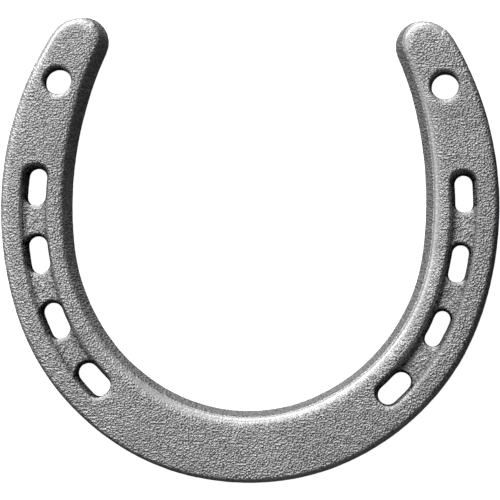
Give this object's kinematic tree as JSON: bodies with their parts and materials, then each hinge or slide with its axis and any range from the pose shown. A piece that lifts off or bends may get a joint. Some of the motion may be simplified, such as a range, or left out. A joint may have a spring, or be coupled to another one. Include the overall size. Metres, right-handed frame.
{
  "type": "horseshoe",
  "caption": "Flat steel horseshoe with a creased ground face, slotted nail holes in each branch and a round hole near each heel.",
  "frame": {"origin": "on the hoof face, at the middle of the shoe's outline across its width and along its length", "axes": "+X across the shoe, +Y from the toe to the heels, +Z from the hoof face to the creased ground face"},
  "size_m": [0.13, 0.1214, 0.008],
  "materials": {
    "forged_steel": "bare forged steel, blast-cleaned to a fine even grain, semi-bright"
  },
  "bodies": {
    "root": {"horseshoe": "forged_steel"}
  },
  "joints": []
}
